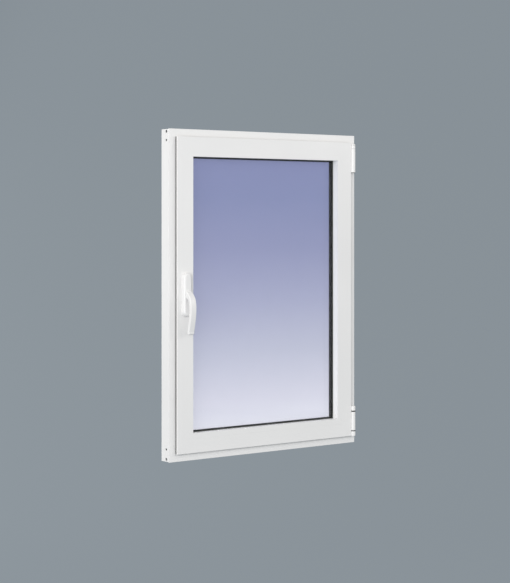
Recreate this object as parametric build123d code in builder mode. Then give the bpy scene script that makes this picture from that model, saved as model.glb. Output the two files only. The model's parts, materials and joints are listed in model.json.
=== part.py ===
from build123d import *
import math
import os

# Tilt and turn casement window: mitred aluminium frame and one glazed sash, hung on the right.
# Millimetres. +Z is up, -Y is the room side, the origin is the middle of the frame's underside.

os.makedirs("parts", exist_ok=True)

# ---- driving dimensions ----
HEIGHT = 1000.0
WIDTH = 750.0
FRAME_DEPTH = 40.0
FRAME_BAND = 23.0          # frame left in sight round the sash
FRAME_TUBE = 31.0          # outer edge to the rebate wall
REBATE_LEG = 51.0          # outer edge to the tip of the outdoor rebate leg
LEG_THICK = 3.5
LIP = 1.5                  # room-side lip that covers the wall joint
LIP_THICK = 3.0
WALL = 2.0                 # extrusion wall
FIT = 0.1                  # gap left round cleats and bars that slide in
RUN = 0.05                 # running clearance of turning fits

FRONT = -FRAME_DEPTH / 2   # frame's room face
BACK = FRAME_DEPTH / 2     # frame's outdoor face
SASH_PROUD = 11.0          # sash face in front of the frame's face
SASH_FRONT = FRONT - SASH_PROUD
SASH_BACK = 14.0
FLANGE_BACK = FRONT - 5.8  # back of the sash's room-side flange, over the frame
SASH_TUBE = 43.0           # outer edge to the sash tube, 12 mm hardware chamber between
REBATE = 66.0              # outer edge to the floor of the glass rebate
SIGHT = 82.5               # outer edge to the sight line of the glass
BEAD_ROUND = 6.0           # soft inner corner of the glazing bead

GLASS_FRONT = -6.5
PANE = 4.0
CAVITY = 9.0
GLASS_EDGE = 71.5
SPACER_OUT = SIGHT - 1.0
SPACER_IN = SIGHT + 4.6
PANE_BACK = GLASS_FRONT + PANE
OUTER_PANE_FRONT = PANE_BACK + CAVITY
GLASS_BACK = OUTER_PANE_FRONT + PANE
BEAD_BACK = GLASS_FRONT - 2.5
GLASS_LEG = GLASS_BACK + 2.0

AXIS_X = WIDTH / 2 - 14.7  # upright hinge line
AXIS_Y = FRONT - 10.0
KNUCKLE_R = 7.9
TILT_Z = 30.0              # height of the level tilt line

HANDLE_X = -WIDTH / 2 + 54.0
HANDLE_Z = 501.5
PITCH_R = 5.0              # pinion pitch radius: 10 teeth, module 1
TEETH = 10
STROKE = math.pi * PITCH_R

HOLE_Y = FRONT + 16.0
FIXING_HOLE_R = 3.75
FIXING_HEIGHTS = (38.0, HEIGHT - 34.5)
PIN_HOLE_R = 4.6
PIN_INSET = 8.5


def save(part, name):
    part.label = name
    export_step(part, f"parts/{name}.step")


def room_plane(y, x=0.0, z=0.0):
    """Upright plane that faces the room: local x is +X, local y is +Z, its normal is -Y."""
    return Plane(origin=(x, y, z), x_dir=(1, 0, 0), z_dir=(0, -1, 0))


# Each side of a rectangle: corner where it starts, direction into the opening, direction it runs.
SIDES = {
    "left": ((-WIDTH / 2, 0, 0), (1, 0, 0), (0, 0, 1), HEIGHT),
    "top": ((-WIDTH / 2, 0, HEIGHT), (0, 0, -1), (1, 0, 0), WIDTH),
    "right": ((WIDTH / 2, 0, HEIGHT), (-1, 0, 0), (0, 0, -1), HEIGHT),
    "bottom": ((WIDTH / 2, 0, 0), (0, 0, 1), (-1, 0, 0), WIDTH),
}


def section_plane(side):
    corner, inward, along, _ = SIDES[side]
    return Plane(origin=corner, x_dir=inward, z_dir=along)


def mitre(side):
    """Cut both ends of the bar in the open builder at 45 degrees."""
    corner, inward, along, length = SIDES[side]
    start = Vector(*corner)
    inward = Vector(*inward)
    along = Vector(*along)
    split(bisect_by=Plane(origin=start, z_dir=along - inward), keep=Keep.TOP)
    split(bisect_by=Plane(origin=start + along * length, z_dir=-along - inward), keep=Keep.TOP)


def hollow_section(outline, hole, default_radius, special_radii=None):
    """Closed outline with a rectangular hollow, in distance from the outer edge and depth.

    special_radii gives the rounding of single corners by their place.
    """
    special_radii = special_radii or {}
    with BuildLine() as edge:
        Polyline(*outline, close=True)
    corners = make_face(edge.edges()).vertices()
    by_radius = {}
    for corner in corners:
        place = (round(corner.X, 3), round(corner.Y, 3))
        by_radius.setdefault(special_radii.get(place, default_radius), []).append(corner)
    for radius, group in by_radius.items():
        fillet(group, radius=radius)
    (u0, y0), (u1, y1) = hole
    with Locations(((u0 + u1) / 2, (y0 + y1) / 2)):
        Rectangle(u1 - u0, y1 - y0, mode=Mode.SUBTRACT)


def round_x(x0, x1, y, z, radius, mode=Mode.ADD):
    """Cylinder along X from x0 to x1 in the open builder."""
    with Locations(Location(((x0 + x1) / 2, y, z), (0, 90, 0))):
        Cylinder(radius, abs(x1 - x0), mode=mode)


def round_y(y0, y1, x, z, radius, mode=Mode.ADD):
    """Cylinder along Y from y0 to y1 in the open builder."""
    with Locations(Location((x, (y0 + y1) / 2, z), (90, 0, 0))):
        Cylinder(radius, abs(y1 - y0), mode=mode)


def drill_x(x0, x1, y, z, radius):
    round_x(x0, x1, y, z, radius, mode=Mode.SUBTRACT)


def drill_y(y0, y1, x, z, radius):
    round_y(y0, y1, x, z, radius, mode=Mode.SUBTRACT)


def block(x0, x1, y0, y1, z0, z1, mode=Mode.ADD):
    """Box between two corners in the open builder."""
    with Locations(((x0 + x1) / 2, (y0 + y1) / 2, (z0 + z1) / 2)):
        Box(abs(x1 - x0), abs(y1 - y0), abs(z1 - z0), mode=mode)


def ring_sketch(outer, inner):
    """Rectangular ring between two distances from the window's outer edge."""
    Rectangle(WIDTH - 2 * outer, HEIGHT - 2 * outer)
    Rectangle(WIDTH - 2 * inner, HEIGHT - 2 * inner, mode=Mode.SUBTRACT)


def upright(radius, z0, z1, mode=Mode.ADD):
    """Cylinder on the upright hinge line."""
    with Locations((AXIS_X, AXIS_Y, (z0 + z1) / 2)):
        Cylinder(radius, z1 - z0, mode=mode)


# ---- outer frame ----
LEG_FRONT = BACK - LEG_THICK
FRAME_OUTLINE = [
    (0, FRONT), (FRAME_TUBE, FRONT), (FRAME_TUBE, LEG_FRONT), (REBATE_LEG, LEG_FRONT),
    (REBATE_LEG, BACK), (LIP, BACK), (LIP, FRONT + LIP_THICK), (0, FRONT + LIP_THICK),
]
FRAME_HOLE = ((LIP + WALL, FRONT + WALL), (FRAME_TUBE - WALL, BACK - WALL))

KEEP_HEIGHTS = (140.0, 400.0, 640.0, 860.0)
KEEP_SCREW_OFFSET = 13.0
KEEP_SCREW_R = 1.75
CAM_Y = -10.0

TOP_BEARING = (880.0, 972.0)
BOTTOM_REST = (22.5, 38.0)
HINGE_SCREW_R = 2.0
HINGE_SCREW_GRIP = 3.8     # length of hinge screw inside the hinge foot
HINGE_HEAD_R = 3.5
HINGE_HEAD = 2.6
HINGE_FOOT_X = (AXIS_X - 6.5, AXIS_X + 12.0)
TOP_SCREWS = (892.0, 920.0, 948.0)
BOTTOM_SCREWS = (26.4, 34.9)

for side in SIDES:
    with BuildPart() as frame_bar:
        with BuildSketch(section_plane(side)):
            hollow_section(FRAME_OUTLINE, FRAME_HOLE, 0.5)
        extrude(amount=SIDES[side][3])
        mitre(side)
        if side in ("left", "right"):
            sign = -1 if side == "left" else 1
            outer_x = sign * WIDTH / 2
            inner_x = sign * (WIDTH / 2 - FRAME_TUBE - 1)
            for z in FIXING_HEIGHTS:
                drill_x(outer_x, inner_x, HOLE_Y, z, FIXING_HOLE_R)
            for z in (PIN_INSET, HEIGHT - PIN_INSET):
                drill_x(outer_x, outer_x - sign * (LIP + WALL), HOLE_Y, z, PIN_HOLE_R)
        if side == "left":
            wall_x = -WIDTH / 2 + FRAME_TUBE
            for z in KEEP_HEIGHTS:
                for offset in (-KEEP_SCREW_OFFSET, KEEP_SCREW_OFFSET):
                    drill_x(wall_x - WALL, wall_x, CAM_Y, z + offset, KEEP_SCREW_R)
        if side == "right":
            for z in TOP_SCREWS + BOTTOM_SCREWS:
                drill_y(FRONT, FRONT + WALL, AXIS_X, z, HINGE_SCREW_R)
        if side == "bottom":
            for x in (-200, 200):
                with BuildSketch(room_plane(BACK, x, 12.0)):
                    SlotOverall(30, 5)
                extrude(amount=WALL, mode=Mode.SUBTRACT)
    save(frame_bar.part, f"frame_bar_{side}")


def corner_cleats(u0, u1, y0, y1, leg_end):
    """Four L blocks that fill the tube corners, added to the open builder."""
    for sx in (-1, 1):
        for z0, up in ((0, 1), (HEIGHT, -1)):
            outer_x = sx * (WIDTH / 2 - u0)
            block(outer_x, sx * (WIDTH / 2 - u1), y0, y1, z0 + up * u0, z0 + up * leg_end)
            block(outer_x, sx * (WIDTH / 2 - leg_end), y0, y1, z0 + up * u0, z0 + up * u1)


CLEAT_PIN_R = 2.5
CLEAT_PIN_START = 12.0
CLEAT_PIN_END = 24.0
FRAME_CLEAT_FRONT = FRONT + WALL + FIT + 3.0     # leaves room for the hinge screw heads
FRAME_CLEAT_LEG = 62.0
SASH_CLEAT_LEG = 100.0
with BuildPart() as frame_cleats:
    corner_cleats(LIP + WALL + FIT, FRAME_TUBE - WALL - FIT, FRAME_CLEAT_FRONT, BACK - WALL - FIT,
                  FRAME_CLEAT_LEG)
    for sx in (-1, 1):
        for z in FIXING_HEIGHTS:
            drill_x(sx * WIDTH / 2, sx * (WIDTH / 2 - FRAME_TUBE), HOLE_Y, z, FIXING_HOLE_R + 0.2)
        for z in (PIN_INSET, HEIGHT - PIN_INSET):
            drill_x(sx * WIDTH / 2, sx * (WIDTH / 2 - CLEAT_PIN_START), HOLE_Y, z, PIN_HOLE_R - 0.2)
            drill_x(sx * WIDTH / 2, sx * (WIDTH / 2 - CLEAT_PIN_END), HOLE_Y, z, CLEAT_PIN_R)
save(frame_cleats.part, "frame_corner_cleats")

with BuildPart() as cleat_pins:
    for sx in (-1, 1):
        for z in (PIN_INSET, HEIGHT - PIN_INSET):
            round_x(sx * (WIDTH / 2 - CLEAT_PIN_START), sx * (WIDTH / 2 - CLEAT_PIN_END),
                    HOLE_Y, z, CLEAT_PIN_R)
save(cleat_pins.part, "frame_cleat_pins")

BULB = (45.0, 49.5)        # rebate gasket, in distance from the outer edge
with BuildPart() as rebate_gasket:
    with BuildSketch(room_plane(LEG_FRONT, z=HEIGHT / 2)):
        ring_sketch(*BULB)
    extrude(amount=LEG_FRONT - SASH_BACK)
save(rebate_gasket.part, "rebate_gasket")

# ---- keeps in the left frame bar, one for each locking cam ----
KEEP_PLATE = 2.5
KEEP_X = -WIDTH / 2 + FRAME_TUBE
KEEP_HALF = 18.0
HOOK_HALF = 12.0
HOOK_REACH = 9.0
KEEP_HEAD_R = 3.2
KEEP_HEAD = 1.2
with BuildPart() as keeps:
    for z in KEEP_HEIGHTS:
        block(KEEP_X, KEEP_X + KEEP_PLATE, CAM_Y - 6, CAM_Y + 12, z - KEEP_HALF, z + KEEP_HALF)
        block(KEEP_X, KEEP_X + HOOK_REACH, CAM_Y + 5.5, CAM_Y + 10, z - HOOK_HALF, z + HOOK_HALF)
        for offset in (-KEEP_SCREW_OFFSET, KEEP_SCREW_OFFSET):
            drill_x(KEEP_X, KEEP_X + KEEP_PLATE, CAM_Y, z + offset, KEEP_SCREW_R)
save(keeps.part, "locking_keeps")

with BuildPart() as keep_screws:
    for z in KEEP_HEIGHTS:
        for offset in (-KEEP_SCREW_OFFSET, KEEP_SCREW_OFFSET):
            face_x = KEEP_X + KEEP_PLATE
            round_x(KEEP_X - WALL, face_x, CAM_Y, z + offset, KEEP_SCREW_R)
            round_x(face_x, face_x + KEEP_HEAD, CAM_Y, z + offset, KEEP_HEAD_R)
save(keep_screws.part, "keep_screws")

# ---- top hinge: frame bearing with its pin, and the stay arm that swings on it ----
ARM_BARREL = (958.0, 968.0)
PIN_R = 3.5
PIN_TOP = TOP_BEARING[1] - 2.0
SLOT_GAP = 0.7
FOOT_DEPTH = 4.0
with BuildPart() as top_bearing:
    upright(KNUCKLE_R, *TOP_BEARING)
    fillet(top_bearing.edges().filter_by(GeomType.CIRCLE), radius=1.2)
    block(*HINGE_FOOT_X, FRONT - FOOT_DEPTH - 2, FRONT, TOP_BEARING[0] + 3, TOP_BEARING[1] - 1)
    block(AXIS_X - 10, AXIS_X + 1.6, AXIS_Y - 10, FRONT, ARM_BARREL[0] - SLOT_GAP,
          ARM_BARREL[1] + SLOT_GAP, mode=Mode.SUBTRACT)
    upright(KNUCKLE_R + 0.3, ARM_BARREL[0] - SLOT_GAP, ARM_BARREL[1] + SLOT_GAP, mode=Mode.SUBTRACT)
    upright(PIN_R, TOP_BEARING[0], PIN_TOP, mode=Mode.SUBTRACT)
    for z in TOP_SCREWS:
        drill_y(FRONT - HINGE_SCREW_GRIP, FRONT, AXIS_X, z, HINGE_SCREW_R)
save(top_bearing.part, "top_hinge_bearing")

PIN_CAP = 1.6
with BuildPart() as top_pin:
    upright(PIN_R, TOP_BEARING[0], PIN_TOP)
save(top_pin.part, "top_hinge_pin")

with BuildPart() as top_pin_cap:
    upright(KNUCKLE_R - 0.8, TOP_BEARING[0] - PIN_CAP, TOP_BEARING[0])
    fillet(top_pin_cap.edges().group_by(Axis.Z)[0], radius=0.8)
save(top_pin_cap.part, "top_hinge_pin_cap")


def hinge_screws(heights):
    """Screws from inside the tube: shank through the front wall, head in the hollow."""
    for z in heights:
        round_y(FRONT - HINGE_SCREW_GRIP, FRONT + WALL, AXIS_X, z, HINGE_SCREW_R)
        round_y(FRONT + WALL, FRONT + WALL + HINGE_HEAD, AXIS_X, z, HINGE_HEAD_R)


with BuildPart() as top_screws:
    hinge_screws(TOP_SCREWS)
save(top_screws.part, "top_hinge_screws")

LEAF = (FRONT - 2.6, FRONT - 0.6)
LEAF_X = (WIDTH / 2 - FRAME_TUBE - 0.5, AXIS_X - 3)
WEB_X = (AXIS_X - 7.5, AXIS_X + 1)
ARM_END_X = AXIS_X - 300.0
ARM_Y = (-19.0, -8.0)
ARM_Z = (960.5, 963.5)
RIVET_R = 2.5
RIVET_X = ARM_END_X + 8.0
RIVET_Y = sum(ARM_Y) / 2
RIVET_HEAD_R = 4.0
RIVET_HEAD = 1.2
with BuildPart() as stay_arm:
    upright(KNUCKLE_R, *ARM_BARREL)
    block(*WEB_X, AXIS_Y, LEAF[1], *ARM_BARREL)
    block(*LEAF_X, *LEAF, *ARM_BARREL)
    block(LEAF_X[0] - 8, LEAF_X[0], LEAF[0], ARM_Y[1], *ARM_Z)
    block(ARM_END_X, LEAF_X[0] - 8, *ARM_Y, *ARM_Z)
    arm_tip = stay_arm.edges().filter_by(Axis.Z).sort_by(Axis.X)[:2]
    fillet(arm_tip, radius=5.0)
    upright(PIN_R + RUN, *ARM_BARREL, mode=Mode.SUBTRACT)
    with Locations((RIVET_X, RIVET_Y, sum(ARM_Z) / 2)):
        Cylinder(RIVET_R, ARM_Z[1] - ARM_Z[0], mode=Mode.SUBTRACT)
save(stay_arm.part, "stay_arm")

with BuildPart() as stay_rivet:
    with Locations((RIVET_X, RIVET_Y, sum(ARM_Z) / 2)):
        Cylinder(RIVET_R, ARM_Z[1] - ARM_Z[0])
    with Locations((RIVET_X, RIVET_Y, ARM_Z[1] + RIVET_HEAD / 2)):
        Cylinder(RIVET_HEAD_R, RIVET_HEAD)
save(stay_rivet.part, "stay_rivet")

# ---- bottom hinge: frame rest, swivel, and the sash hinge with its stud ----
SWIVEL_R = 5.8
SWIVEL_WASHER = 2.2
HEAD_R = 3.6
HEAD_HALF = 3.5
NECK_R = 2.4
with BuildPart() as hinge_rest:
    upright(KNUCKLE_R, *BOTTOM_REST)
    fillet(hinge_rest.edges().filter_by(GeomType.CIRCLE).group_by(Axis.Z)[0], radius=1.2)
    block(*HINGE_FOOT_X, FRONT - FOOT_DEPTH - 2, FRONT, *BOTTOM_REST)
    upright(SWIVEL_R + RUN, BOTTOM_REST[0] + 2, BOTTOM_REST[1], mode=Mode.SUBTRACT)
    for z in BOTTOM_SCREWS:
        drill_y(FRONT - HINGE_SCREW_GRIP, FRONT, AXIS_X, z, HINGE_SCREW_R)
save(hinge_rest.part, "bottom_hinge_rest")

with BuildPart() as rest_screws:
    hinge_screws(BOTTOM_SCREWS)
save(rest_screws.part, "bottom_hinge_screws")

SWIVEL_TOP = BOTTOM_REST[1] + SWIVEL_WASHER
with BuildPart() as swivel:
    upright(SWIVEL_R, BOTTOM_REST[0] + 2, BOTTOM_REST[1])
    upright(KNUCKLE_R + 0.1, BOTTOM_REST[1], SWIVEL_TOP)
    slot_x = (AXIS_X - HEAD_HALF - FIT, AXIS_X + HEAD_HALF + FIT)
    slot_y = (AXIS_Y - HEAD_R - RUN, AXIS_Y + HEAD_R + RUN)
    drill_x(*slot_x, AXIS_Y, TILT_Z, HEAD_R + RUN)
    block(*slot_x, *slot_y, TILT_Z, SWIVEL_TOP, mode=Mode.SUBTRACT)
save(swivel.part, "hinge_swivel")

SASH_HINGE = (41.4, 101.2)
HINGE_BUSH = (101.2, 105.2)
HINGE_CAP = (105.2, 120.0)
ADJUSTER_R = 2.5
ADJUSTER_REACH = 6.0       # how far the height adjuster stands up into the cap
STUD_R = 4.0
STUD_TOP = 89.0
with BuildPart() as stud:
    round_x(AXIS_X - HEAD_HALF, AXIS_X + HEAD_HALF, AXIS_Y, TILT_Z, HEAD_R)
    upright(NECK_R, TILT_Z, SASH_HINGE[0])
    upright(STUD_R, SASH_HINGE[0], STUD_TOP)
save(stud.part, "pivot_stud")

CHAMBER_X = (WIDTH / 2 - SASH_TUBE, WIDTH / 2 - FRAME_TUBE - 1.0)
HINGE_LEAF_Z = (48.0, 97.0)
LEAF_BACK = 4.0
SASH_HINGE_SCREWS = (56.0, 72.5, 89.0)
SASH_SCREW_Y = -6.0
LEAF_INNER_X = CHAMBER_X[1] - 3.0
SASH_SCREW_SEAT_X = CHAMBER_X[1] - 4.0
SASH_SCREW_HEAD_R = 3.8
SASH_SCREW_HEAD = 3.0
with BuildPart() as sash_hinge:
    upright(KNUCKLE_R, *SASH_HINGE)
    block(*WEB_X, AXIS_Y, LEAF[1], *HINGE_LEAF_Z)
    block(LEAF_INNER_X, LEAF_X[1], *LEAF, *HINGE_LEAF_Z)
    block(LEAF_INNER_X, CHAMBER_X[1], LEAF[0], LEAF_BACK, *HINGE_LEAF_Z)
    block(CHAMBER_X[0], LEAF_INNER_X, SASH_SCREW_Y - 10, LEAF_BACK, *HINGE_LEAF_Z)
    upright(STUD_R, SASH_HINGE[0], STUD_TOP, mode=Mode.SUBTRACT)
    upright(ADJUSTER_R, STUD_TOP, SASH_HINGE[1], mode=Mode.SUBTRACT)
    for z in SASH_HINGE_SCREWS:
        drill_x(CHAMBER_X[0], CHAMBER_X[1], SASH_SCREW_Y, z, HINGE_SCREW_R)
        drill_x(SASH_SCREW_SEAT_X, CHAMBER_X[1], SASH_SCREW_Y, z, SASH_SCREW_HEAD_R + 0.2)
save(sash_hinge.part, "sash_hinge")

with BuildPart() as sash_hinge_screws:
    for z in SASH_HINGE_SCREWS:
        head_end = SASH_SCREW_SEAT_X + SASH_SCREW_HEAD
        round_x(CHAMBER_X[0] - WALL, SASH_SCREW_SEAT_X, SASH_SCREW_Y, z, HINGE_SCREW_R)
        round_x(SASH_SCREW_SEAT_X, head_end, SASH_SCREW_Y, z, SASH_SCREW_HEAD_R)
save(sash_hinge_screws.part, "sash_hinge_screws")

with BuildPart() as hinge_bush:
    upright(KNUCKLE_R + 0.1, *HINGE_BUSH)
    upright(ADJUSTER_R, *HINGE_BUSH, mode=Mode.SUBTRACT)
save(hinge_bush.part, "sash_hinge_bush")

with BuildPart() as adjuster:
    upright(ADJUSTER_R, STUD_TOP, HINGE_CAP[0] + ADJUSTER_REACH)
save(adjuster.part, "height_adjuster_screw")

with BuildPart() as hinge_cap:
    upright(KNUCKLE_R, *HINGE_CAP)
    fillet(hinge_cap.edges().group_by(Axis.Z)[-1], radius=2.5)
    upright(ADJUSTER_R, HINGE_CAP[0], HINGE_CAP[0] + ADJUSTER_REACH, mode=Mode.SUBTRACT)
save(hinge_cap.part, "sash_hinge_cap")

# ---- sash ----
SASH_OUTLINE = [
    (FRAME_BAND, SASH_FRONT), (REBATE, SASH_FRONT), (REBATE, GLASS_LEG), (SIGHT, GLASS_LEG),
    (SIGHT, SASH_BACK), (SASH_TUBE, SASH_BACK), (SASH_TUBE, FLANGE_BACK), (FRAME_BAND, FLANGE_BACK),
]
SASH_HOLE = ((SASH_TUBE + WALL, SASH_FRONT + WALL), (REBATE - WALL, GLASS_LEG))
CAM_HEIGHTS = {"upper": KEEP_HEIGHTS[2:], "lower": KEEP_HEIGHTS[:2]}
CAM_TRAVEL = {"upper": -STROKE, "lower": STROKE}
CAM_STEM_R = 2.5
CAM_SLOT_HALF = CAM_STEM_R + 0.5
SPINDLE_HOLE_R = 6.0
BASE_SCREWS = (HANDLE_Z - 48.0, HANDLE_Z + 48.0)
BASE_SCREW_R = 2.5
BASE_HEAD_R = 4.5
BASE_HEAD = 3.0
SLIDER_BASE = HEIGHT - SASH_TUBE
SLIDER_TOP = SLIDER_BASE + 2.5
SLIDER_SCREWS = (RIVET_X - 15, RIVET_X + 15)
SLIDER_SCREW_R = 2.0

for side in SIDES:
    with BuildPart() as sash_bar:
        with BuildSketch(section_plane(side)):
            hollow_section(SASH_OUTLINE, SASH_HOLE, 0.6, {(REBATE, SASH_FRONT): 0.2})
        extrude(amount=SIDES[side][3])
        mitre(side)
        if side == "left":
            drill_y(SASH_FRONT, SASH_FRONT + WALL, HANDLE_X, HANDLE_Z, SPINDLE_HOLE_R)
            for z in BASE_SCREWS:
                drill_y(SASH_FRONT, SASH_FRONT + WALL, HANDLE_X, z, BASE_SCREW_R)
            wall_x = -WIDTH / 2 + SASH_TUBE
            for group, heights in CAM_HEIGHTS.items():
                for z in heights:
                    low = min(z, z + CAM_TRAVEL[group]) - CAM_SLOT_HALF
                    high = max(z, z + CAM_TRAVEL[group]) + CAM_SLOT_HALF
                    block(wall_x, wall_x + WALL, CAM_Y - CAM_SLOT_HALF, CAM_Y + CAM_SLOT_HALF,
                          low, high, mode=Mode.SUBTRACT)
        if side == "right":
            wall_x = WIDTH / 2 - SASH_TUBE
            for z in SASH_HINGE_SCREWS:
                drill_x(wall_x - WALL, wall_x, SASH_SCREW_Y, z, HINGE_SCREW_R)
        if side == "top":
            with Locations(*[(x, RIVET_Y, SLIDER_BASE - WALL / 2) for x in SLIDER_SCREWS]):
                Cylinder(SLIDER_SCREW_R, WALL, mode=Mode.SUBTRACT)
    save(sash_bar.part, f"sash_bar_{side}")

with BuildPart() as sash_cleats:
    corner_cleats(SASH_TUBE + WALL + FIT, REBATE - WALL - FIT,
                  SASH_FRONT + WALL + FIT, GLASS_LEG - FIT, SASH_CLEAT_LEG)
save(sash_cleats.part, "sash_corner_cleats")

BEAD_OUTLINE = [(REBATE, SASH_FRONT), (SIGHT, SASH_FRONT), (SIGHT, BEAD_BACK), (REBATE, BEAD_BACK)]
BEAD_WALL = 1.5
BEAD_HOLE = ((REBATE + BEAD_WALL, SASH_FRONT + BEAD_ROUND), (SIGHT - BEAD_WALL, BEAD_BACK - BEAD_WALL))
for side in SIDES:
    with BuildPart() as bead:
        with BuildSketch(section_plane(side)):
            hollow_section(BEAD_OUTLINE, BEAD_HOLE, 0.2, {(SIGHT, SASH_FRONT): BEAD_ROUND})
        extrude(amount=SIDES[side][3])
        mitre(side)
    save(bead.part, f"glazing_bead_{side}")

# ---- insulating glass and its gaskets ----
PANE_W = WIDTH - 2 * GLASS_EDGE
PANE_H = HEIGHT - 2 * GLASS_EDGE
for name, back in (("inner_pane", PANE_BACK), ("outer_pane", GLASS_BACK)):
    with BuildPart() as pane:
        with BuildSketch(room_plane(back, z=HEIGHT / 2)):
            Rectangle(PANE_W, PANE_H)
        extrude(amount=PANE)
    save(pane.part, name)

EDGE_RINGS = {"edge_sealant": (GLASS_EDGE, SPACER_OUT), "spacer_bar": (SPACER_OUT, SPACER_IN)}
for name, (outer, inner) in EDGE_RINGS.items():
    with BuildPart() as ring:
        with BuildSketch(room_plane(OUTER_PANE_FRONT, z=HEIGHT / 2)):
            ring_sketch(outer, inner)
        extrude(amount=CAVITY)
    save(ring.part, name)

GASKET_IN = REBATE + 8.0   # far edge of the gaskets, hidden in the rebate
GASKET_STEP = SIGHT - 0.6  # where the gasket body ends and its lip begins
GASKET_LIP = 2.8           # lip in sight on the glass
LIP_HEIGHT = 1.3
with BuildPart() as inner_gasket:
    with BuildSketch(room_plane(GLASS_FRONT, z=HEIGHT / 2)):
        ring_sketch(GASKET_IN, SIGHT + GASKET_LIP)
    extrude(amount=LIP_HEIGHT)
    with BuildSketch(room_plane(GLASS_FRONT - LIP_HEIGHT, z=HEIGHT / 2)):
        ring_sketch(GASKET_IN, GASKET_STEP)
    extrude(amount=GLASS_FRONT - LIP_HEIGHT - BEAD_BACK)
save(inner_gasket.part, "inner_glazing_gasket")

with BuildPart() as outer_gasket:
    with BuildSketch(room_plane(GLASS_LEG, z=HEIGHT / 2)):
        ring_sketch(GASKET_IN, GASKET_STEP)
    extrude(amount=GLASS_LEG - GLASS_BACK)
    with BuildSketch(room_plane(GLASS_BACK + LIP_HEIGHT, z=HEIGHT / 2)):
        ring_sketch(GASKET_STEP, SIGHT + GASKET_LIP)
    extrude(amount=LIP_HEIGHT)
save(outer_gasket.part, "outer_glazing_gasket")

BLOCK_X = 210.0
BLOCK_HALF = 50.0
with BuildPart() as setting_blocks:
    for x in (-BLOCK_X, BLOCK_X):
        block(x - BLOCK_HALF, x + BLOCK_HALF, GLASS_FRONT, GLASS_BACK, REBATE, GLASS_EDGE)
save(setting_blocks.part, "setting_blocks")

FLAP_GAP = 1.0             # the flap gasket stands off the frame, so it clears it at full tilt
FLAP_THICK = FRONT - FLANGE_BACK - FLAP_GAP
FLAP_NOTCHES = (
    (HINGE_LEAF_Z[0] - 1.0, HINGE_LEAF_Z[1] + 1.0),
    (ARM_BARREL[0] - 1.5, ARM_BARREL[1] + 1.5),
)
with BuildPart() as sash_gasket:
    with BuildSketch(room_plane(FLANGE_BACK + FLAP_THICK, z=HEIGHT / 2)):
        ring_sketch(FRAME_BAND + 0.5, FRAME_BAND + 5.0)
    extrude(amount=FLAP_THICK)
    notch_x = (WIDTH / 2 - FRAME_BAND - 8, WIDTH / 2)
    for low, high in FLAP_NOTCHES:
        block(*notch_x, FLANGE_BACK, FRONT, low, high, mode=Mode.SUBTRACT)
save(sash_gasket.part, "sash_flange_gasket")

SLIDER_HALF = 22.0
SINK_R = 3.6               # countersink at the slider's top
SINK = 1.6                 # height of the screw's cone
with BuildPart() as stay_slider:
    block(RIVET_X - SLIDER_HALF, RIVET_X + SLIDER_HALF, *ARM_Y, SLIDER_BASE, SLIDER_TOP)
    fillet(stay_slider.edges().filter_by(Axis.Z), radius=3.0)
    with Locations(*[(x, RIVET_Y, SLIDER_TOP) for x in SLIDER_SCREWS]):
        CounterSinkHole(SLIDER_SCREW_R, SINK_R, depth=SLIDER_TOP - SLIDER_BASE)
save(stay_slider.part, "stay_slider")

CONE_TOP = SLIDER_TOP - 0.2
with BuildPart() as slider_screws:
    for x in SLIDER_SCREWS:
        with Locations((x, RIVET_Y, (CONE_TOP - SINK + SLIDER_BASE - WALL) / 2)):
            Cylinder(SLIDER_SCREW_R, CONE_TOP - SINK - SLIDER_BASE + WALL)
        with Locations((x, RIVET_Y, CONE_TOP - SINK / 2)):
            Cone(SLIDER_SCREW_R, SINK_R - 0.2, SINK)
save(slider_screws.part, "stay_slider_screws")

# ---- lock gear in the left stile: pinion, two toothed rods, cams ----
RACK_Y = (CAM_Y - 5.0, CAM_Y + 5.0)
ADDENDUM = 0.5
ROOT_GAP = 0.3
BACKLASH = 0.16
PRESSURE = math.radians(20)
ROD_THICK = 2.8
ROD_OUT_X = -WIDTH / 2 + SASH_TUBE + WALL + 0.2


def involute(angle):
    return math.tan(angle) - angle


def tooth_half_angle(radius):
    """Half the angle that one pinion tooth fills at a radius."""
    base = PITCH_R * math.cos(PRESSURE)
    at_pitch = (math.pi / TEETH - BACKLASH / (2 * PITCH_R)) / 2 + involute(PRESSURE)
    return at_pitch - involute(math.acos(min(1.0, base / radius)))


def tooth_outline(tooth):
    """Points of one tooth, from its root up one flank and down the other."""
    radii = (PITCH_R - ADDENDUM - ROOT_GAP, PITCH_R * math.cos(PRESSURE), PITCH_R, PITCH_R + ADDENDUM)
    middle = 2 * math.pi * tooth / TEETH
    rising = [(r, middle - tooth_half_angle(r)) for r in radii]
    falling = [(r, middle + tooth_half_angle(r)) for r in reversed(radii)]
    return [(r * math.cos(a), r * math.sin(a)) for r, a in rising + falling]


SPINDLE = 7.0
SLEEVE_R = 5.2
SLEEVE_LENGTH = 6.0
PINION_BORE_R = 2.6
with BuildPart() as pinion:
    with BuildSketch(room_plane(RACK_Y[1], HANDLE_X, HANDLE_Z)):
        with BuildLine():
            Polyline(*[point for tooth in range(TEETH) for point in tooth_outline(tooth)], close=True)
        make_face()
        Circle(PINION_BORE_R, mode=Mode.SUBTRACT)
    extrude(amount=RACK_Y[1] - RACK_Y[0])
    with BuildSketch(room_plane(RACK_Y[0], HANDLE_X, HANDLE_Z)):
        Circle(SLEEVE_R)
        Rectangle(SPINDLE, SPINDLE, mode=Mode.SUBTRACT)
    extrude(amount=SLEEVE_LENGTH)
save(pinion.part, "drive_pinion")


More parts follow.
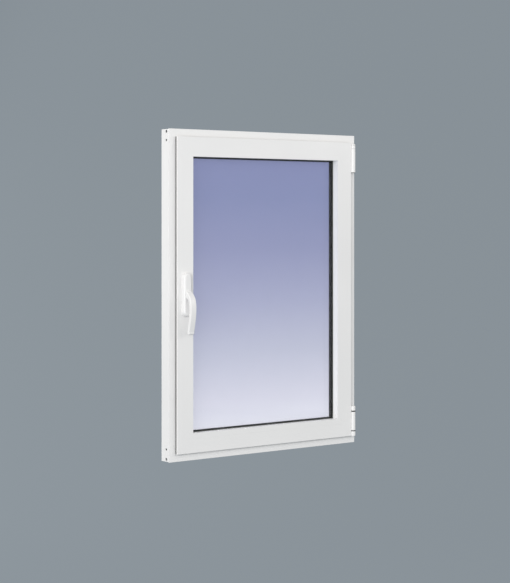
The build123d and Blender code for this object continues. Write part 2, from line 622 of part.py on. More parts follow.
def rack_teeth(pitch_x, toward, z0, z1):
    """Rack teeth whose tips point toward +1 or -1 in X, with a gap at the pinion's height."""
    pitch = 2 * math.pi * PITCH_R / TEETH
    slope = math.tan(PRESSURE)
    half = (pitch / 2 - BACKLASH) / 2
    root = ADDENDUM + ROOT_GAP
    first = math.ceil((z0 - HANDLE_Z) / pitch - 0.5)
    last = math.floor((z1 - HANDLE_Z) / pitch - 0.5)
    for index in range(first, last + 1):
        z = HANDLE_Z + (index + 0.5) * pitch
        with BuildSketch(room_plane(RACK_Y[1])) as tooth:
            with BuildLine():
                Polyline(
                    (pitch_x - toward * root, z - half - root * slope),
                    (pitch_x + toward * ADDENDUM, z - half + ADDENDUM * slope),
                    (pitch_x + toward * ADDENDUM, z + half - ADDENDUM * slope),
                    (pitch_x - toward * root, z + half + root * slope),
                    close=True,
                )
            make_face()
        extrude(tooth.sketch, amount=RACK_Y[1] - RACK_Y[0])


LEFT_PITCH_X = HANDLE_X - PITCH_R
RIGHT_PITCH_X = HANDLE_X + PITCH_R
ROD_IN_X = LEFT_PITCH_X - ADDENDUM - ROOT_GAP
BACK_ROD_X = RIGHT_PITCH_X + ADDENDUM + ROOT_GAP
ROD_END = 17.0             # rod beyond its outermost cam
UPPER_END = CAM_HEIGHTS["upper"][-1] + ROD_END
LOWER_END = CAM_HEIGHTS["lower"][0] - ROD_END


def cam_holes(heights):
    for z in heights:
        drill_x(ROD_OUT_X, ROD_IN_X, CAM_Y, z, CAM_STEM_R)


with BuildPart() as upper_rod:
    block(ROD_OUT_X, ROD_IN_X, *RACK_Y, HANDLE_Z - 7, UPPER_END)
    rack_teeth(LEFT_PITCH_X, 1, HANDLE_Z - 6, HANDLE_Z + STROKE + 6)
    cam_holes(CAM_HEIGHTS["upper"])
save(upper_rod.part, "upper_drive_rod")

BRIDGE_Z = (HANDLE_Z - 48, HANDLE_Z - 40)
with BuildPart() as lower_rod:
    block(BACK_ROD_X, BACK_ROD_X + ROD_THICK, *RACK_Y, BRIDGE_Z[0], HANDLE_Z + 7)
    rack_teeth(RIGHT_PITCH_X, -1, HANDLE_Z - STROKE - 6, HANDLE_Z + 6)
    block(ROD_OUT_X, BACK_ROD_X, *RACK_Y, *BRIDGE_Z)
    block(ROD_OUT_X, ROD_IN_X, *RACK_Y, LOWER_END, BRIDGE_Z[0])
    cam_holes(CAM_HEIGHTS["lower"])
save(lower_rod.part, "lower_drive_rod")

TUBE_IN_X = -WIDTH / 2 + REBATE - WALL
CASE_HALF = 34.0
with BuildPart() as gear_case:
    block(ROD_OUT_X + 1, TUBE_IN_X - FIT, SASH_FRONT + WALL + FIT, RACK_Y[0] - 0.4,
          HANDLE_Z - CASE_HALF, HANDLE_Z + CASE_HALF)
    fillet(gear_case.edges().filter_by(Axis.Y), radius=2.0)
    drill_y(SASH_FRONT, RACK_Y[0], HANDLE_X, HANDLE_Z, SLEEVE_R + RUN)
save(gear_case.part, "gear_case")

GUIDE_HEIGHTS = (170.0, 320.0, 600.0, 750.0)
GUIDE_HALF = 8.0
with BuildPart() as rod_guides:
    for z in GUIDE_HEIGHTS:
        block(ROD_IN_X + 0.3, TUBE_IN_X - FIT, *RACK_Y, z - GUIDE_HALF, z + GUIDE_HALF)
save(rod_guides.part, "rod_guides")

CAM_HEAD_R = 4.5
CAM_HEAD_X = (-WIDTH / 2 + 37.5, -WIDTH / 2 + 42.5)
for group, heights in CAM_HEIGHTS.items():
    with BuildPart() as cams:
        for z in heights:
            round_x(CAM_HEAD_X[0], ROD_IN_X, CAM_Y, z, CAM_STEM_R)
            round_x(*CAM_HEAD_X, CAM_Y, z, CAM_HEAD_R)
    save(cams.part, f"{group}_cams")

# ---- handle ----
BASE_H = 131.0
BASE_W = 30.0
BASE_DEPTH = 14.0
COVER_FRONT = SASH_FRONT - BASE_DEPTH
COVER_WALL = 2.0
PLATE_DEPTH = 6.0
COVER_ROUND = 7.5
COVER_HOLLOW = PLATE_DEPTH + 3.5     # room for the plate and its screw heads
CORNER_R = BASE_W / 2 - 2.0
HUB_R = 9.0
with BuildPart() as handle_cover:
    with BuildSketch(room_plane(SASH_FRONT, HANDLE_X, HANDLE_Z)):
        RectangleRounded(BASE_W, BASE_H, CORNER_R)
    extrude(amount=BASE_DEPTH)
    fillet(handle_cover.edges().group_by(Axis.Y)[0], radius=COVER_ROUND)
    with BuildSketch(room_plane(SASH_FRONT, HANDLE_X, HANDLE_Z)):
        RectangleRounded(BASE_W - 2 * COVER_WALL, BASE_H - 2 * COVER_WALL, CORNER_R - COVER_WALL)
    extrude(amount=COVER_HOLLOW, mode=Mode.SUBTRACT)
    drill_y(COVER_FRONT, SASH_FRONT, HANDLE_X, HANDLE_Z, HUB_R + RUN)
save(handle_cover.part, "handle_cover")

BASE_FIT = COVER_WALL + FIT
PLATE_FRONT = SASH_FRONT - PLATE_DEPTH
with BuildPart() as handle_plate:
    with BuildSketch(room_plane(SASH_FRONT, HANDLE_X, HANDLE_Z)):
        RectangleRounded(BASE_W - 2 * BASE_FIT, BASE_H - 2 * BASE_FIT, CORNER_R - BASE_FIT)
    extrude(amount=PLATE_DEPTH)
    drill_y(PLATE_FRONT, SASH_FRONT, HANDLE_X, HANDLE_Z, SPINDLE_HOLE_R)
    for z in BASE_SCREWS:
        drill_y(PLATE_FRONT, SASH_FRONT, HANDLE_X, z, BASE_SCREW_R)
save(handle_plate.part, "handle_base_plate")

with BuildPart() as base_screws:
    for z in BASE_SCREWS:
        round_y(PLATE_FRONT, SASH_FRONT + WALL, HANDLE_X, z, BASE_SCREW_R)
        round_y(PLATE_FRONT - BASE_HEAD, PLATE_FRONT, HANDLE_X, z, BASE_HEAD_R)
save(base_screws.part, "handle_base_screws")

HUB_BACK = PLATE_FRONT - 0.3
SPINDLE_DEPTH = 10.0
COLLAR_R = 12.0
COLLAR_GAP = 0.6
COLLAR_DEPTH = 4.5
LEVER_HALF = 11.0
LEVER_ROUND = 3.2


def lever_point(proud, drop):
    """Point of the lever's side view: distance proud of the sash face, and drop below the spindle."""
    return (SASH_FRONT - proud, HANDLE_Z - drop)


with BuildPart() as blade:
    with BuildSketch(Plane.YZ.offset(HANDLE_X - LEVER_HALF)):
        with BuildLine():
            outer = Spline(
                lever_point(15.5, -11.5), lever_point(27.0, -1.5), lever_point(36.2, 11.5),
                lever_point(41.0, 38.0), lever_point(37.6, 77.0), lever_point(30.0, 112.5),
            )
            tip = ThreePointArc(outer @ 1, lever_point(24.3, 119.5), lever_point(20.3, 115.5))
            inner = Spline(
                tip @ 1, lever_point(27.4, 77.0), lever_point(30.4, 38.0), lever_point(26.0, 18.0),
                lever_point(15.5, 10.0),
            )
            Line(inner @ 1, outer @ 0)
        make_face()
    extrude(amount=2 * LEVER_HALF)
    fillet(blade.edges().filter_by(GeomType.LINE, reverse=True), radius=LEVER_ROUND)

with BuildPart() as lever:
    with BuildSketch(room_plane(COVER_FRONT - COLLAR_GAP, HANDLE_X, HANDLE_Z)):
        Circle(COLLAR_R)
    extrude(amount=COLLAR_DEPTH)
    fillet(lever.edges().group_by(Axis.Y)[0], radius=1.2)
    add(blade.part)
    with BuildSketch(room_plane(HUB_BACK, HANDLE_X, HANDLE_Z)):
        Circle(HUB_R)
    extrude(amount=HUB_BACK - COVER_FRONT + 2.0)
    with BuildSketch(room_plane(HUB_BACK, HANDLE_X, HANDLE_Z)):
        Rectangle(SPINDLE, SPINDLE)
    extrude(amount=SPINDLE_DEPTH, mode=Mode.SUBTRACT)
save(lever.part, "handle_lever")

with BuildPart() as spindle:
    with BuildSketch(room_plane(RACK_Y[0], HANDLE_X, HANDLE_Z)):
        Rectangle(SPINDLE, SPINDLE)
    extrude(amount=RACK_Y[0] - HUB_BACK + SPINDLE_DEPTH)
save(spindle.part, "handle_spindle")
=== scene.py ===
import json
import math

import bmesh
import bpy
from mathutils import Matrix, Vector


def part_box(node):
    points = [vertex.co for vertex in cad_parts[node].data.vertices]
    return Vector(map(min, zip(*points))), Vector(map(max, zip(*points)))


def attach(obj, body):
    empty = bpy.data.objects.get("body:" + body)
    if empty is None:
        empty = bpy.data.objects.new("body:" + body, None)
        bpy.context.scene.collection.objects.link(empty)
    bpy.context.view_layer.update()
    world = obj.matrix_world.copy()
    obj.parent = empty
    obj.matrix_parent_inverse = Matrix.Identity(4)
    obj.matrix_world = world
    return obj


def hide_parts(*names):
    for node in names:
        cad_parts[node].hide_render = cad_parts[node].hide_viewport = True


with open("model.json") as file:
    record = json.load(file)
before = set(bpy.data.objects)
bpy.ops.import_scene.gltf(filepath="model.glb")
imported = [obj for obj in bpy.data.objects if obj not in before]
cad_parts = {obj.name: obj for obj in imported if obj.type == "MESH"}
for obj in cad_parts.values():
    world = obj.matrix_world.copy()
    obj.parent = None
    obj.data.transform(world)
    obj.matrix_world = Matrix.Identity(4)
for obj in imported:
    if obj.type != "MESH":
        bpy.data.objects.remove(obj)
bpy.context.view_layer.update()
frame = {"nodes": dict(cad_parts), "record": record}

# Looks of the casement window. Metres, in the frame's axes: -Y is the room side, +Z is up.

NODES = frame["nodes"]
FRAME_LOW, FRAME_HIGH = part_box("frame_bar_left")
FRONT_Y = FRAME_LOW.y
HEIGHT = FRAME_HIGH.z - FRAME_LOW.z
WIDTH = 2 * abs(FRAME_LOW.x)
GLASS_LOW, GLASS_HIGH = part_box("inner_pane")
MM = 0.001


# ---- node helpers ----

class Graph:
    """A material's node tree with short calls for making and joining nodes."""

    def __init__(self, name):
        self.material = bpy.data.materials.new(name)
        self.material.use_nodes = True
        self.tree = self.material.node_tree
        self.tree.nodes.clear()
        self.output = self.tree.nodes.new("ShaderNodeOutputMaterial")
        self.coords = self.tree.nodes.new("ShaderNodeTexCoord")

    def node(self, kind, inputs=None, **settings):
        made = self.tree.nodes.new(kind)
        for name, value in settings.items():
            setattr(made, name, value)
        for name, value in (inputs or {}).items():
            self.put(made.inputs[name], value)
        return made

    def put(self, socket, value):
        if isinstance(value, bpy.types.NodeSocket):
            self.tree.links.new(value, socket)
        else:
            socket.default_value = value

    def noise(self, scale, detail=3.0, roughness=0.5, stretch=(1, 1, 1)):
        """Noise in object space, 0 to 1, with scale in features per metre."""
        mapping = self.node("ShaderNodeMapping", {"Vector": self.coords.outputs["Object"]})
        mapping.inputs["Scale"].default_value = stretch
        made = self.node("ShaderNodeTexNoise", {"Vector": mapping.outputs[0], "Scale": scale,
                                                "Detail": detail, "Roughness": roughness})
        return made.outputs["Fac"]

    def spread(self, value, low, high, start=0.3, end=0.7):
        """Value between start and end mapped to low and high."""
        made = self.node("ShaderNodeMapRange", {"Value": value, "From Min": start, "From Max": end,
                                                "To Min": low, "To Max": high})
        return made.outputs[0]

    def ramp(self, value, stops):
        made = self.node("ShaderNodeValToRGB", {"Fac": value})
        elements = made.color_ramp.elements
        while len(elements) < len(stops):
            elements.new(1.0)
        for element, (place, colour) in zip(elements, stops):
            element.position = place
            element.color = (*colour, 1.0)
        return made.outputs["Color"]

    def bump(self, height, distance, strength=1.0, normal=None):
        made = self.node("ShaderNodeBump", {"Height": height, "Distance": distance, "Strength": strength})
        if normal is not None:
            self.put(made.inputs["Normal"], normal)
        return made.outputs["Normal"]

    def add(self, first, second):
        return self.node("ShaderNodeMath", {0: first, 1: second}, operation="ADD").outputs[0]

    def multiply(self, first, second):
        return self.node("ShaderNodeMath", {0: first, 1: second}, operation="MULTIPLY").outputs[0]

    def finish(self, shader):
        self.tree.links.new(shader.outputs[0], self.output.inputs["Surface"])
        return self.material

    def surface(self, colour, roughness, normal, fixed=None):
        """Finished material; fixed holds the settings that are the same all over."""
        inputs = {"Base Color": colour, "Roughness": roughness, "Normal": normal, **(fixed or {})}
        return self.finish(self.node("ShaderNodeBsdfPrincipled", inputs))


# ---- materials ----

PANE_LOW, PANE_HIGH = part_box("outer_pane")
SKY_PAINT_Y = (PANE_LOW.y + PANE_HIGH.y) / 2      # the painted sky reflection lies on the outer pane's cavity side of this
# Painted reflection of a sky on the outer pane: a cool violet at the top, near white at the bottom.
PAINTED_SKY_REFLECTION = [                                  # (height share from the bottom, colour)
    (0.0, (0.96, 0.91, 1.0)),
    (0.105, (0.82, 0.77, 0.89)),
    (0.285, (0.62, 0.60, 0.745)),
    (0.47, (0.458, 0.448, 0.638)),
    (0.66, (0.332, 0.332, 0.54)),
    (0.85, (0.267, 0.280, 0.498)),
    (1.0, (0.262, 0.270, 0.498)),
]
PANE_GLOSS = (0.9, 0.93, 0.95, 1.0)
PANE_CLEAR = (0.96, 0.975, 0.985, 1.0)
DRAWN_ALONG_Z = (1, 1, 0.03)                    # noise scale along x, y and z
ROLLED_ALONG_Z = (1, 1, 0.04)
BRUSHED_ALONG_Z = (1, 1, 0.3)
DIE_CAST = (0.55, 0.56, 0.58)
DUST_AND_SHEEN = 0.03                                     # how much paler the rubber's patches of dust and painted sheen are


def shade(tone, factor):
    return tuple(min(1.0, channel * factor) for channel in tone)


def powder_coat(name, tone, peel=0.00006):
    """Satin powder coat: a broad, faint tone drift and speckle, over fine and coarse orange peel."""
    g = Graph(name)
    drift = g.noise(2.6, detail=2.0)
    speck = g.noise(1500, detail=2.0)
    mottle = g.add(g.multiply(drift, 0.75), g.multiply(speck, 0.25))
    colour = g.ramp(mottle, [(0.35, shade(tone, 0.965)), (0.65, shade(tone, 1.015))])
    rough = g.spread(g.noise(45, detail=4.0), 0.36, 0.46)
    fine = g.bump(g.noise(900, detail=2.0), peel)
    normal = g.bump(g.noise(220, detail=1.0), peel * 2.0, normal=fine)
    return g.surface(colour, rough, normal,
                     {"Specular IOR Level": 0.45, "Coat Weight": 0.08, "Coat Roughness": 0.2})


def rubber(name, tone):
    """Extruded EPDM: matt black with fine grain and paler patches that are partly dust, partly painted
    sheen.
    """
    g = Graph(name)
    dust_and_sheen_patches = g.noise(60, detail=5.0, roughness=0.6)
    grain = g.noise(2500, detail=2.0)
    # Patches made paler by dust and by painted sheen.
    dust_and_sheen_tone = tuple(channel + DUST_AND_SHEEN for channel in tone)
    colour = g.ramp(dust_and_sheen_patches, [(0.4, tone), (0.8, dust_and_sheen_tone)])
    rough = g.spread(grain, 0.5, 0.68)
    normal = g.bump(grain, 0.00005)
    return g.surface(colour, rough, normal)


def nylon(name, tone):
    """Moulded nylon with a spark-eroded grain."""
    g = Graph(name)
    grain = g.noise(1800, detail=3.0)
    colour = g.ramp(g.noise(120), [(0.3, tone), (0.7, shade(tone, 1.4))])
    rough = g.spread(grain, 0.38, 0.55)
    normal = g.bump(grain, 0.00004)
    return g.surface(colour, rough, normal, {"Specular IOR Level": 0.25})


def anodised(name, tone):
    """Black anodised strip: near matt, with faint rolling lines and a little tone drift."""
    g = Graph(name)
    lines = g.noise(1200, detail=2.0, stretch=ROLLED_ALONG_Z)
    colour = g.ramp(g.noise(70), [(0.3, tone), (0.7, shade(tone, 1.5))])
    rough = g.spread(lines, 0.5, 0.62)
    normal = g.bump(lines, 0.00002)
    return g.surface(colour, rough, normal, {"Specular IOR Level": 0.25})


def metal(name, tone, roughness, stretch=(1, 1, 1)):
    """Plated or mill-finish metal: fine lines, drawn out by stretch, and cloudy plating."""
    g = Graph(name)
    lines = g.noise(900, detail=3.0, stretch=stretch)
    cloud = g.noise(90, detail=4.0)
    colour = g.ramp(cloud, [(0.3, shade(tone, 0.86)), (0.7, tone)])
    mottle = g.add(g.multiply(lines, 0.6), g.multiply(cloud, 0.4))
    rough = g.spread(mottle, roughness - 0.07, roughness + 0.1)
    normal = g.bump(lines, 0.00003)
    return g.surface(colour, rough, normal, {"Metallic": 1.0})


def gloss_share(g, flat_on, glancing):
    """Share of mirror gloss: low when seen square on, high at a glancing angle, the same on both sides."""
    facing = g.node("ShaderNodeLayerWeight", {"Blend": 0.5}).outputs["Facing"]
    steep = g.node("ShaderNodeMath", {0: facing, 1: 4.0}, operation="POWER").outputs[0]
    return g.spread(steep, flat_on, glancing, 0.0, 1.0)


def clear_glass(name):
    """Clear float glass: light passes straight through, with a clean mirror gloss."""
    g = Graph(name)
    haze = g.noise(30, detail=2.0)
    clear_tone = g.ramp(haze, [(0.3, (0.965, 0.98, 0.975)), (0.7, (0.97, 0.985, 0.98))])
    clear = g.node("ShaderNodeBsdfTransparent", {"Color": clear_tone})
    gloss = g.node("ShaderNodeBsdfGlossy", {"Color": PANE_GLOSS,
                                            "Roughness": g.spread(haze, 0.02, 0.04)})
    share = gloss_share(g, 0.025, 0.5)
    return g.finish(g.node("ShaderNodeMixShader", {0: share, 1: clear.outputs[0], 2: gloss.outputs[0]}))


def sky_reflection_glass(name):
    """Outer pane, clear but for a painted reflection of a sky on its cavity face.

    The painted reflection is a cool violet at the top that pales to near white at the bottom, and it lets
    light through from the back as well as catching it from the front.
    """
    g = Graph(name)
    split = g.node("ShaderNodeSeparateXYZ", {"Vector": g.coords.outputs["Object"]})
    height = g.node("ShaderNodeMapRange", {"Value": split.outputs["Z"], "From Min": GLASS_LOW.z,
                                           "From Max": GLASS_HIGH.z})
    cloud = g.noise(4.0, detail=2.0)
    cloudy_height = g.add(height.outputs[0], g.spread(cloud, -0.006, 0.006))
    # Painted sky reflection, ramped by height with a faint random drift.
    colour = g.ramp(cloudy_height, PAINTED_SKY_REFLECTION)
    catch = g.node("ShaderNodeBsdfDiffuse", {"Color": colour})
    glow = g.node("ShaderNodeBsdfTranslucent", {"Color": colour})
    painted_sky = g.node("ShaderNodeMixShader", {0: 0.6, 1: catch.outputs[0], 2: glow.outputs[0]})
    clear = g.node("ShaderNodeBsdfTransparent", {"Color": PANE_CLEAR})
    # The painted sky reflection lies only on the cavity face and thins a little towards the top.
    sky_painted_face = g.node("ShaderNodeMath", {0: split.outputs["Y"], 1: SKY_PAINT_Y}, operation="LESS_THAN")
    sky_paint_share = g.multiply(sky_painted_face.outputs[0], g.spread(cloudy_height, 0.96, 0.88, 0.0, 1.0))
    body = g.node("ShaderNodeMixShader", {0: sky_paint_share, 1: clear.outputs[0], 2: painted_sky.outputs[0]})
    gloss = g.node("ShaderNodeBsdfGlossy", {"Color": PANE_GLOSS,
                                            "Roughness": g.spread(cloud, 0.03, 0.06)})
    share = gloss_share(g, 0.02, 0.4)
    return g.finish(g.node("ShaderNodeMixShader", {0: share, 1: body.outputs[0], 2: gloss.outputs[0]}))


MATERIALS = {
    "frame_powder_coat": powder_coat("frame_powder_coat", (0.838, 0.830, 0.822)),
    "sash_powder_coat": powder_coat("sash_powder_coat", (0.822, 0.814, 0.806)),
    "white_hardware": powder_coat("white_hardware", (0.815, 0.808, 0.80), peel=0.00003),
    "handle_coat": powder_coat("handle_coat", (0.80, 0.793, 0.785), peel=0.00002),
    # black_rubber is paler than bare black rubber: partly dust, partly painted sheen.
    "black_rubber": rubber("black_rubber", (0.042, 0.043, 0.038)),
    "edge_seal": rubber("edge_seal", (0.015, 0.015, 0.018)),
    "black_nylon": nylon("black_nylon", (0.012, 0.012, 0.013)),
    "spacer_black": anodised("spacer_black", (0.008, 0.008, 0.009)),
    "cleat_aluminium": metal("cleat_aluminium", (0.68, 0.69, 0.70), 0.42),
    "rod_aluminium": metal("rod_aluminium", (0.72, 0.73, 0.74), 0.32, DRAWN_ALONG_Z),
    "zinc_steel": metal("zinc_steel", (0.62, 0.63, 0.65), 0.28, BRUSHED_ALONG_Z),
    "keep_zinc": metal("keep_zinc", DIE_CAST, 0.40),
    "handle_plate_zinc": metal("handle_plate_zinc", DIE_CAST, 0.40),
    "glass": clear_glass("clear_glass"),
}
OUTER_GLASS = sky_reflection_glass("sky_reflection_glass")


def dress_nodes():
    """Give each CAD node its finish in place of the plain one from model.glb."""
    for part in frame["record"]["subparts"]:
        node = NODES[part["node"]]
        finish = MATERIALS[part["material_slot"]]
        if part["node"] == "outer_pane":
            finish = OUTER_GLASS
        for index in range(len(node.material_slots)):
            node.material_slots[index].material = finish


dress_nodes()


# ---- rubber profiles, swept round the window ----

WAVE = 0.12 * MM
WAVE_BEATS = ((0.83, 0.0), (1.91, 1.0))         # (radians per station, phase)
STATIONS_PER_SIDE = 40
CREASE = math.radians(35)


def outline_corner(index, inset):
    """Corner of the window's outline at an inset; counted anticlockwise from the bottom right."""
    x = WIDTH / 2 - inset
    return Vector(((x, inset), (x, HEIGHT - inset), (-x, HEIGHT - inset), (-x, inset))[index % 4])


def along(side, share):
    """Place on one side of the outline, as a function of the inset."""
    return lambda inset: outline_corner(side, inset).lerp(outline_corner(side + 1, inset), share)


def at_height(z):
    """Place at one height of the right-hand side, as a function of the inset."""
    return lambda inset: Vector((WIDTH / 2 - inset, z))


def whole_ring():
    return [along(side, step / STATIONS_PER_SIDE) for side in range(4) for step in range(STATIONS_PER_SIDE)]


def swept_profile(bm, profile, stations, closed):
    """Sweep (inset, y, lip) points, in mm, through the stations; lip points waver a little."""
    rows = []
    for count, place in enumerate(stations):
        wave = WAVE * sum(math.sin(count * rate + phase) for rate, phase in WAVE_BEATS) / len(WAVE_BEATS)
        row = []
        for inset, y, lip in profile:
            flat = place(inset * MM + wave * lip)
            row.append(bm.verts.new((flat.x, y * MM, flat.y)))
        rows.append(row)
    size = len(profile)
    for index in range(len(rows) if closed else len(rows) - 1):
        row, next_row = rows[index], rows[(index + 1) % len(rows)]
        for k in range(size):
            bm.faces.new((row[k], row[(k + 1) % size], next_row[(k + 1) % size], next_row[k]))
    if not closed:
        bm.faces.new(rows[0])
        bm.faces.new(list(reversed(rows[-1])))


def rubber_piece(name, profile, runs, node, slot, body):
    """Rubber extrusion that stands for one CAD node; runs are (stations, closed)."""
    bm = bmesh.new()
    for stations, closed in runs:
        swept_profile(bm, profile, stations, closed)
    bmesh.ops.recalc_face_normals(bm, faces=bm.faces)
    for face in bm.faces:
        face.smooth = True
    for edge in bm.edges:
        edge.smooth = edge.calc_face_angle(math.pi) < CREASE
    mesh = bpy.data.meshes.new(name)
    bm.to_mesh(mesh)
    bm.free()
    mesh.materials.append(MATERIALS[slot])
    piece = bpy.data.objects.new(name, mesh)
    bpy.context.scene.collection.objects.link(piece)
    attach(piece, body)
    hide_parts(node)


# Sections as (across, deep, lip) in mm from a datum; lip points are the free edge of the rubber.
SIGHT = (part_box("glazing_bead_left")[1].x + WIDTH / 2) / MM
ROOM_GLASS = GLASS_LOW.y / MM
OUTDOOR_GLASS = PANE_HIGH.y / MM
WEDGE = [
    (-8.3, 0.05, 0), (-8.3, 1.95, 0), (-2.8, 1.95, 0), (-0.7, 1.9, 0), (0.5, 1.75, 0), (1.5, 1.35, 1),
    (2.3, 0.85, 1), (2.65, 0.4, 1), (2.6, 0.1, 1), (2.2, 0.02, 1), (0.2, 0.1, 0), (-3.8, 0.35, 0),
    (-6.0, 0.2, 0),
]
ROOM_WEDGE_SCALE = -1.25       # the room wedge is deeper and points the other way
BULB = [
    (0.2, -0.05, 0), (0.2, -0.6, 0), (0.7, -1.2, 1), (1.1, -1.9, 1), (1.8, -2.35, 1), (2.5, -2.45, 1),
    (3.2, -2.3, 1), (3.8, -1.8, 1), (4.1, -1.1, 1), (4.3, -0.6, 0), (4.3, -0.05, 0),
]
FLAP = [
    (4.2, 0.05, 0), (4.2, 0.8, 0), (3.4, 1.5, 0), (2.5, 2.6, 1), (1.7, 3.9, 1), (1.0, 4.65, 1),
    (0.5, 4.85, 1), (0.15, 4.75, 1), (0.1, 4.4, 1), (0.3, 3.4, 1), (0.3, 2.4, 1), (0.3, 1.5, 0),
    (0.2, 0.9, 0), (0.2, 0.05, 0),
]
CAVITY_FRONT = GLASS_HIGH.y / MM
CAVITY = PANE_LOW.y / MM - CAVITY_FRONT
SEALANT = [
    (-1.05, 0.05, 0), (-9.0, 0.05, 0), (-10.2, 0.3, 0), (-10.8, 1.2, 0), (-10.4, CAVITY / 2, 1),
    (-10.8, CAVITY - 1.2, 0), (-10.2, CAVITY - 0.3, 0), (-9.0, CAVITY - 0.05, 0),
    (-1.05, CAVITY - 0.05, 0),
]


def placed(section, inset, y, scale=1.0):
    """Section moved to its datum, as (inset, y, lip) points."""
    return [(inset + across, y + scale * deep, lip) for across, deep, lip in section]


def gasket_edge(node):
    """Inset of a ring-shaped node's outer edge, in mm."""
    return (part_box(node)[0].x + WIDTH / 2) / MM


BULB_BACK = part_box("rebate_gasket")[1].y / MM
FLAP_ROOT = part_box("sash_flange_gasket")[0].y / MM
ALL_ROUND = [(whole_ring(), True)]
rubber_piece("glazing_wedge_room", placed(WEDGE, SIGHT, ROOM_GLASS, ROOM_WEDGE_SCALE), ALL_ROUND,
             "inner_glazing_gasket", "black_rubber", "sash")
rubber_piece("glazing_wedge_outdoor", placed(WEDGE, SIGHT, OUTDOOR_GLASS), ALL_ROUND,
             "outer_glazing_gasket", "black_rubber", "sash")
rubber_piece("rebate_bulb", placed(BULB, gasket_edge("rebate_gasket"), BULB_BACK), ALL_ROUND,
             "rebate_gasket", "black_rubber", "frame")
rubber_piece("edge_seal_bead", placed(SEALANT, SIGHT, CAVITY_FRONT), ALL_ROUND,
             "edge_sealant", "edge_seal", "sash")


LEAF_CUT = (47.0, 98.0)        # heights, in mm, between which the flap clears the sash hinge's leaf
ARM_CUT = 1.5                  # clearance above and below the stay arm, in mm


def flap_runs():
    """The flap is cut away at the sash hinge's leaf and at the stay arm."""
    arm_low, arm_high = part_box("stay_arm")
    leaf_low, leaf_high = (height * MM for height in LEAF_CUT)
    below_arm = arm_low.z - ARM_CUT * MM
    above_arm = arm_high.z + ARM_CUT * MM
    short = [at_height(leaf_high + (below_arm - leaf_high) * step / STATIONS_PER_SIDE)
             for step in range(STATIONS_PER_SIDE + 1)]
    around = [at_height(above_arm)]
    for side in (1, 2, 3):
        around += [along(side, step / STATIONS_PER_SIDE) for step in range(STATIONS_PER_SIDE)]
    around += [along(0, 0), at_height(leaf_low)]
    return [(short, False), (around, False)]


rubber_piece("sash_flap", placed(FLAP, gasket_edge("sash_flange_gasket"), FLAP_ROOT), flap_runs(),
             "sash_flange_gasket", "black_rubber", "sash")


# ---- stage, light and camera ----

VIEW_TURN = math.radians(-39.2)
SWEEP_LEFT = -9.0
SWEEP_RIGHT = 9.0
SWEEP_NEAR = -9.0
SWEEP_FAR = 6.0
SWEEP_DROP = -0.9
SWEEP_TOP = 7.0
SWEEP_RADIUS = 2.5
SWEEP_WALL_TONE = (0.028, 0.032, 0.035)
SWEEP_FLOOR_TONE = (0.03, 0.034, 0.037)
SWEEP_GLOW = (0.222, 0.254, 0.281)
SWEEP_CURVE_STEPS = 24


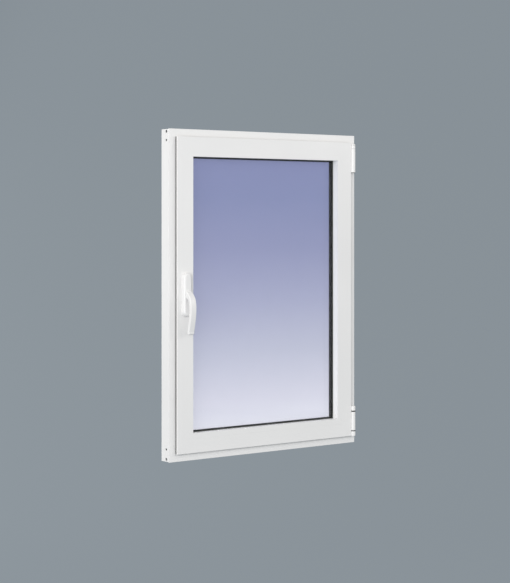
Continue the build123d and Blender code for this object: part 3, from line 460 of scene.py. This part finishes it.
def studio_sweep():
    """Plain floor that curves up into a backdrop behind the window, seen from the camera."""
    profile = [(SWEEP_NEAR, SWEEP_DROP)]
    for step in range(SWEEP_CURVE_STEPS + 1):
        angle = math.pi / 2 * step / SWEEP_CURVE_STEPS
        profile.append((SWEEP_FAR - SWEEP_RADIUS + SWEEP_RADIUS * math.sin(angle),
                        SWEEP_DROP + SWEEP_RADIUS * (1 - math.cos(angle))))
    profile.append((SWEEP_FAR, SWEEP_TOP))
    verts = [(x, y, z) for y, z in profile for x in (SWEEP_LEFT, SWEEP_RIGHT)]
    faces = [(2 * i, 2 * i + 1, 2 * i + 3, 2 * i + 2) for i in range(len(profile) - 1)]
    mesh = bpy.data.meshes.new("sweep")
    mesh.from_pydata(verts, [], faces)
    for polygon in mesh.polygons:
        polygon.use_smooth = True
    sweep = bpy.data.objects.new("sweep", mesh)
    sweep.rotation_euler.z = VIEW_TURN
    bpy.context.scene.collection.objects.link(sweep)
    g = Graph("sweep")
    split = g.node("ShaderNodeSeparateXYZ", {"Vector": g.coords.outputs["Object"]})
    rise = g.node("ShaderNodeMapRange", {"Value": split.outputs["Z"], "From Min": SWEEP_DROP,
                                         "From Max": SWEEP_DROP + SWEEP_RADIUS})
    tone = g.ramp(g.add(rise.outputs[0], g.spread(g.noise(0.6, detail=2.0), -0.01, 0.01)),
                  [(0.0, SWEEP_FLOOR_TONE), (1.0, SWEEP_WALL_TONE)])
    lit = g.node("ShaderNodeBsdfDiffuse", {"Color": tone})
    glow = g.node("ShaderNodeEmission", {"Color": (*SWEEP_GLOW, 1.0)})
    mesh.materials.append(g.finish(g.node("ShaderNodeAddShader", {0: lit.outputs[0], 1: glow.outputs[0]})))


LIGHTS = [                    # (name, azimuth, elevation, distance, size, power)
    ("key", 42, 16, 7.0, 1.6, 55),
    ("front_soft", 0, 12, 7.0, 5.0, 54),
    ("front_fill", -60, 6, 8.0, 5.0, 440),
    ("back_fill", 180, 20, 6.0, 3.4, 310),
]


def soft_light(name, azimuth, elevation, distance, size, power):
    """Square soft light that faces the window's middle; azimuth 0 is straight in front of it."""
    middle = Vector((0, FRONT_Y, HEIGHT / 2))
    turn = math.radians(azimuth)
    rise = math.radians(elevation)
    away = Vector((math.sin(turn) * math.cos(rise), -math.cos(turn) * math.cos(rise), math.sin(rise)))
    lamp = bpy.data.lights.new(name, "AREA")
    lamp.shape = "SQUARE"
    lamp.size = size
    lamp.energy = power
    light = bpy.data.objects.new(name, lamp)
    light.location = middle + away * distance
    light.rotation_euler = (-away).to_track_quat("-Z", "Y").to_euler()
    bpy.context.scene.collection.objects.link(light)


WORLD_TONE = (1.0, 0.995, 0.985)
WORLD_STRENGTH = 0.62


def studio_world():
    world = bpy.data.worlds.new("studio")
    world.use_nodes = True
    background = world.node_tree.nodes["Background"]
    background.inputs["Color"].default_value = (*WORLD_TONE, 1.0)
    background.inputs["Strength"].default_value = WORLD_STRENGTH
    bpy.context.scene.world = world


CAMERA_PLACE = Vector((-3.3887, FRONT_Y - 4.1018, 0.730))
LENS = 105.0
SENSOR_WIDTH = 36.0
SHIFT_Y = -0.125


def camera():
    data = bpy.data.cameras.new("camera")
    data.lens = LENS
    data.sensor_width = SENSOR_WIDTH
    data.shift_y = SHIFT_Y
    data.clip_end = 100.0
    made = bpy.data.objects.new("camera", data)
    made.location = CAMERA_PLACE
    made.rotation_euler = (math.pi / 2, 0, VIEW_TURN)
    bpy.context.scene.collection.objects.link(made)
    bpy.context.scene.camera = made


studio_sweep()
studio_world()
for light_settings in LIGHTS:
    soft_light(*light_settings)
camera()
bpy.context.scene.view_settings.view_transform = "Standard"
